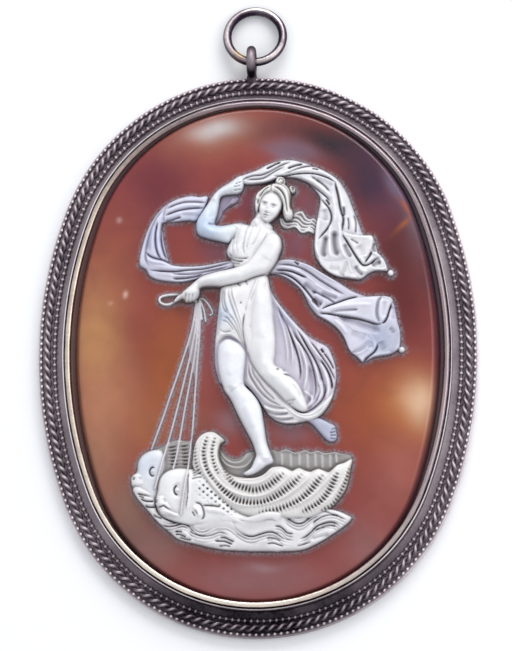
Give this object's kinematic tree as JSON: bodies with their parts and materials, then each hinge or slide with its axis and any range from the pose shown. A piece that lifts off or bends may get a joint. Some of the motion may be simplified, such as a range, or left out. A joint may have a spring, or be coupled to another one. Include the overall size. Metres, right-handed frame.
{
  "type": "cameo pendant",
  "caption": "Oval shell cameo with a raised classical figure on a red-brown ground, in a beaded and roped oxidised silver setting with a loop and hanging ring.",
  "frame": {"origin": "on the surface the pendant lies on, under the middle of its whole length, ring included", "axes": "+Z out of the carved face, +Y towards the hanging ring, +X to the right of the face"},
  "size_m": [0.0528, 0.0772, 0.0067],
  "materials": {
    "oxidised_silver": "oxidised, worn bright on the beads, gilt on the lip",
    "carved_shell": "polished shell, white layer carved over a red-brown ground",
    "ring_silver": "worn silver with a brass-coloured seam"
  },
  "bodies": {
    "pendant": {"setting": "oxidised_silver", "cameo": "carved_shell"},
    "ring": {"hanging_ring": "ring_silver"}
  },
  "joints": [
    {"name": "ring_swing", "type": "hinge", "parent": "pendant", "child": "ring", "pos_m": [-0.0003, 0.03139, 0.00177], "axis": [1, 0, 0], "range_deg": [-100, 150]}
  ]
}
